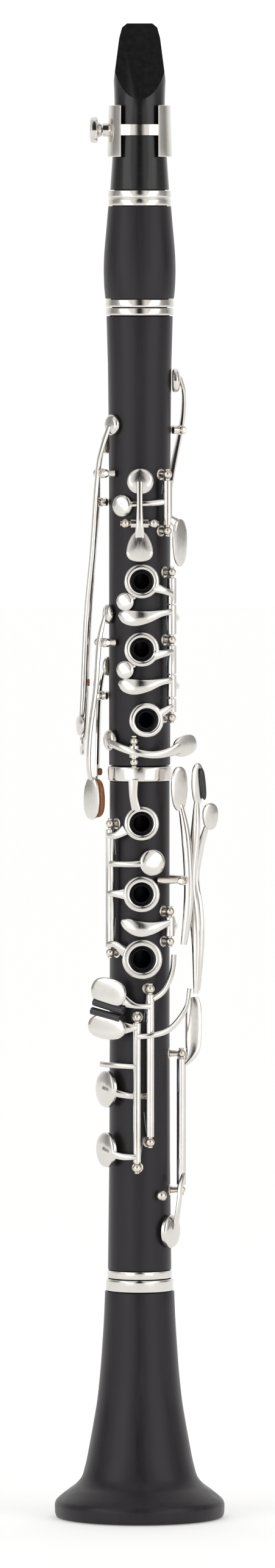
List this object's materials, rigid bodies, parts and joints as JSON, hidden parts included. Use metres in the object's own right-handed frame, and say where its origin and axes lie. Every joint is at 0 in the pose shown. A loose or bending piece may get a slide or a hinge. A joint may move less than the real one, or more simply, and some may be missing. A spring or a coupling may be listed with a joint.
{
  "type": "clarinet",
  "caption": "Soprano clarinet standing on its bell: black wood joints with silvered rings, a mouthpiece with reed and ligature, and sprung keys, rings and levers on rods and posts",
  "frame": {"origin": "centre of the bell's rim plane, on the surface it stands on", "axes": "+Z along the bore to the mouthpiece, finger holes face -Y, +X to the viewer's right"},
  "size_m": [0.0756, 0.0756, 0.6643],
  "materials": {
    "black_wood": "dense black wood, satin, with soft vertical highlights",
    "mouthpiece_resin": "polished black ebonite",
    "silver_keys": "bright silver plate, polished",
    "silver_posts": "silver plate, polished, slightly warm",
    "silver_rings": "bright silver plate, polished",
    "tenon_cork": "natural cork, matt",
    "cane": "pale cane, matt"
  },
  "bodies": {
    "body": {"upper_joint": "black_wood", "upper_joint_ring": "silver_rings", "upper_tenon_cork": "tenon_cork", "middle_tenon_cork": "tenon_cork", "lower_joint": "black_wood", "lower_joint_ring": "silver_rings", "lower_joint_bottom_ring": "silver_rings", "bell_tenon_cork": "tenon_cork", "bell": "black_wood", "bell_ring": "silver_rings", "thumb_rest": "silver_rings", "thumb_tube": "black_wood", "upper_stack_rod": "silver_posts", "a_key_posts": "silver_posts", "g_sharp_key_posts": "silver_posts", "register_key_posts": "silver_posts", "side_key_1_posts": "silver_posts", "side_key_2_posts": "silver_posts", "side_key_3_posts": "silver_posts", "side_key_4_posts": "silver_posts", "c_sharp_key_posts": "silver_posts", "thumb_ring_posts": "silver_posts", "lower_stack_rod": "silver_posts", "lower_crescent_posts": "silver_posts", "low_f_posts": "silver_posts", "low_e_posts": "silver_posts", "a_flat_posts": "silver_posts", "left_lever_posts": "silver_posts"},
    "head": {"mouthpiece": "mouthpiece_resin", "reed": "cane", "ligature": "silver_rings", "mouthpiece_cork": "tenon_cork", "barrel": "black_wood", "barrel_top_ring": "silver_rings", "barrel_bottom_ring": "silver_rings"},
    "ligature_screw": {"ligature_screw": "silver_rings"},
    "ring_key_1": {"ring_key_1": "silver_keys"},
    "ring_key_2": {"ring_key_2": "silver_keys"},
    "ring_key_3": {"ring_key_3": "silver_keys"},
    "crescent_key_1": {"crescent_key_1": "silver_keys"},
    "crescent_key_2": {"crescent_key_2": "silver_keys"},
    "a_key": {"a_key": "silver_keys"},
    "g_sharp_key": {"g_sharp_key": "silver_keys"},
    "register_key": {"register_key": "silver_keys"},
    "side_key_1": {"side_key_1": "silver_keys"},
    "side_key_2": {"side_key_2": "silver_keys"},
    "side_key_3": {"side_key_3": "silver_keys"},
    "side_key_4": {"side_key_4": "silver_keys"},
    "c_sharp_key": {"c_sharp_key": "silver_keys"},
    "thumb_ring_key": {"thumb_ring_key": "silver_keys"},
    "lower_ring_key": {"lower_ring_key": "silver_keys"},
    "lower_crescent_key": {"lower_crescent_key": "silver_keys"},
    "low_f_key": {"low_f_key": "silver_keys"},
    "low_e_key": {"low_e_key": "silver_keys"},
    "a_flat_key": {"a_flat_key": "silver_keys"},
    "left_lever_1": {"left_lever_1": "silver_keys"},
    "left_lever_2": {"left_lever_2": "silver_keys"},
    "left_lever_3": {"left_lever_3": "silver_keys"}
  },
  "joints": [
    {"name": "barrel_tuning_slide", "type": "slide", "parent": "body", "child": "head", "axis": [0, 0, 1], "range_m": [0, 0.003]},
    {"name": "ring_key_1_press", "type": "hinge", "parent": "body", "child": "ring_key_1", "pos_m": [0.0142, -0.01005, 0.413], "axis": [0, 0, -1], "range_deg": [0, 5], "stiffness_Nm_per_rad": 0.05, "springref_deg": -2.86},
    {"name": "ring_key_2_press", "type": "hinge", "parent": "body", "child": "ring_key_2", "pos_m": [0.0142, -0.01005, 0.3825], "axis": [0, 0, -1], "range_deg": [0, 5], "stiffness_Nm_per_rad": 0.05, "springref_deg": -2.86},
    {"name": "ring_key_3_press", "type": "hinge", "parent": "body", "child": "ring_key_3", "pos_m": [0.0142, -0.01005, 0.3622], "axis": [0, 0, -1], "range_deg": [0, 5], "stiffness_Nm_per_rad": 0.05, "springref_deg": -2.86},
    {"name": "crescent_key_1_press", "type": "hinge", "parent": "body", "child": "crescent_key_1", "pos_m": [0.0142, -0.01005, 0.4002], "axis": [0, 0, -1], "range_deg": [0, 4.5], "stiffness_Nm_per_rad": 0.05, "springref_deg": -2.86},
    {"name": "crescent_key_2_press", "type": "hinge", "parent": "body", "child": "crescent_key_2", "pos_m": [0.0142, -0.01005, 0.3709], "axis": [0, 0, -1], "range_deg": [0, 4.5], "stiffness_Nm_per_rad": 0.05, "springref_deg": -2.86},
    {"name": "a_key_press", "type": "hinge", "parent": "body", "child": "a_key", "pos_m": [0, -0.0175, 0.443], "axis": [1, 0, 0], "range_deg": [0, 5], "stiffness_Nm_per_rad": 0.05, "springref_deg": -2.86},
    {"name": "g_sharp_key_press", "type": "hinge", "parent": "body", "child": "g_sharp_key", "pos_m": [0.01234, -0.01283, 0.452], "axis": [0, 0, 1], "range_deg": [0, 4], "stiffness_Nm_per_rad": 0.05, "springref_deg": -2.86},
    {"name": "register_key_press", "type": "hinge", "parent": "body", "child": "register_key", "pos_m": [0.01688, 0.00682, 0.484], "axis": [-0.3746, 0.9272, 0], "range_deg": [0, 3.5], "stiffness_Nm_per_rad": 0.05, "springref_deg": -2.86},
    {"name": "side_key_1_press", "type": "hinge", "parent": "body", "child": "side_key_1", "pos_m": [-0.01712, -0.00556, 0.465], "axis": [0.309, -0.9511, 0], "range_deg": [0, 1.6], "stiffness_Nm_per_rad": 0.05, "springref_deg": -2.86},
    {"name": "side_key_2_press", "type": "hinge", "parent": "body", "child": "side_key_2", "pos_m": [-0.01698, 0.00535, 0.452], "axis": [-0.3007, -0.9537, 0], "range_deg": [0, 1.6], "stiffness_Nm_per_rad": 0.05, "springref_deg": -2.86},
    {"name": "side_key_3_press", "type": "hinge", "parent": "body", "child": "side_key_3", "pos_m": [-0.01643, -0.00631, 0.39], "axis": [0.3584, -0.9336, 0], "range_deg": [0, 2.5], "stiffness_Nm_per_rad": 0.05, "springref_deg": -2.86},
    {"name": "side_key_4_press", "type": "hinge", "parent": "body", "child": "side_key_4", "pos_m": [-0.01635, 0.00595, 0.366], "axis": [-0.342, -0.9397, 0], "range_deg": [0, 3], "stiffness_Nm_per_rad": 0.05, "springref_deg": -2.86},
    {"name": "c_sharp_key_press", "type": "hinge", "parent": "body", "child": "c_sharp_key", "pos_m": [-0.00248, -0.01763, 0.342], "axis": [0, 0, 1], "range_deg": [0, 4], "stiffness_Nm_per_rad": 0.05, "springref_deg": -2.86},
    {"name": "thumb_ring_key_press", "type": "hinge", "parent": "body", "child": "thumb_ring_key", "pos_m": [-0.01071, 0.01371, 0.404], "axis": [0, 0, -1], "range_deg": [0, 5], "stiffness_Nm_per_rad": 0.05, "springref_deg": -2.86},
    {"name": "lower_ring_key_press", "type": "hinge", "parent": "body", "child": "lower_ring_key", "pos_m": [-0.01302, -0.01093, 0.281], "axis": [0, 0, 1], "range_deg": [0, 5], "stiffness_Nm_per_rad": 0.05, "springref_deg": -2.86},
    {"name": "lower_crescent_key_press", "type": "hinge", "parent": "body", "child": "lower_crescent_key", "pos_m": [0.0134, -0.01047, 0.264], "axis": [0, 0, -1], "range_deg": [0, 4.5], "stiffness_Nm_per_rad": 0.05, "springref_deg": -2.86},
    {"name": "low_f_key_press", "type": "hinge", "parent": "body", "child": "low_f_key", "pos_m": [0.00465, -0.01656, 0.2025], "axis": [0, 0, -1], "range_deg": [0, 4], "stiffness_Nm_per_rad": 0.05, "springref_deg": -2.86},
    {"name": "low_e_key_press", "type": "hinge", "parent": "body", "child": "low_e_key", "pos_m": [-0.00114, -0.01716, 0.1905], "axis": [0, 0, -1], "range_deg": [0, 4], "stiffness_Nm_per_rad": 0.05, "springref_deg": -2.86},
    {"name": "a_flat_key_press", "type": "hinge", "parent": "body", "child": "a_flat_key", "pos_m": [0.01851, -0.00327, 0.1766], "axis": [0, 0, 1], "range_deg": [0, 4], "stiffness_Nm_per_rad": 0.05, "springref_deg": -2.86},
    {"name": "left_lever_1_press", "type": "hinge", "parent": "body", "child": "left_lever_1", "pos_m": [0.01971, -0.01066, 0.2845], "axis": [-0.2588, -0.9659, 0], "range_deg": [0, 2.6], "stiffness_Nm_per_rad": 0.05, "springref_deg": -2.86},
    {"name": "left_lever_2_press", "type": "hinge", "parent": "body", "child": "left_lever_2", "pos_m": [0.02106, -0.00564, 0.2845], "axis": [-0.2588, -0.9659, 0], "range_deg": [0, 2.6], "stiffness_Nm_per_rad": 0.05, "springref_deg": -2.86},
    {"name": "left_lever_3_press", "type": "hinge", "parent": "body", "child": "left_lever_3", "pos_m": [0.0224, -0.00062, 0.2845], "axis": [-0.2588, -0.9659, 0], "range_deg": [0, 2.6], "stiffness_Nm_per_rad": 0.05, "springref_deg": -2.86},
    {"name": "ligature_screw_turn", "type": "hinge", "parent": "head", "child": "ligature_screw", "pos_m": [-0.0167, 0, 0.617], "axis": [-1, 0, 0], "range_deg": [-180, 180]}
  ],
  "couplings": [
    {"joint": "low_f_key_press", "follows": "left_lever_1_press", "ratio": 1.5},
    {"joint": "low_e_key_press", "follows": "left_lever_2_press", "ratio": 1.5},
    {"joint": "a_flat_key_press", "follows": "left_lever_3_press", "ratio": 1.5}
  ]
}
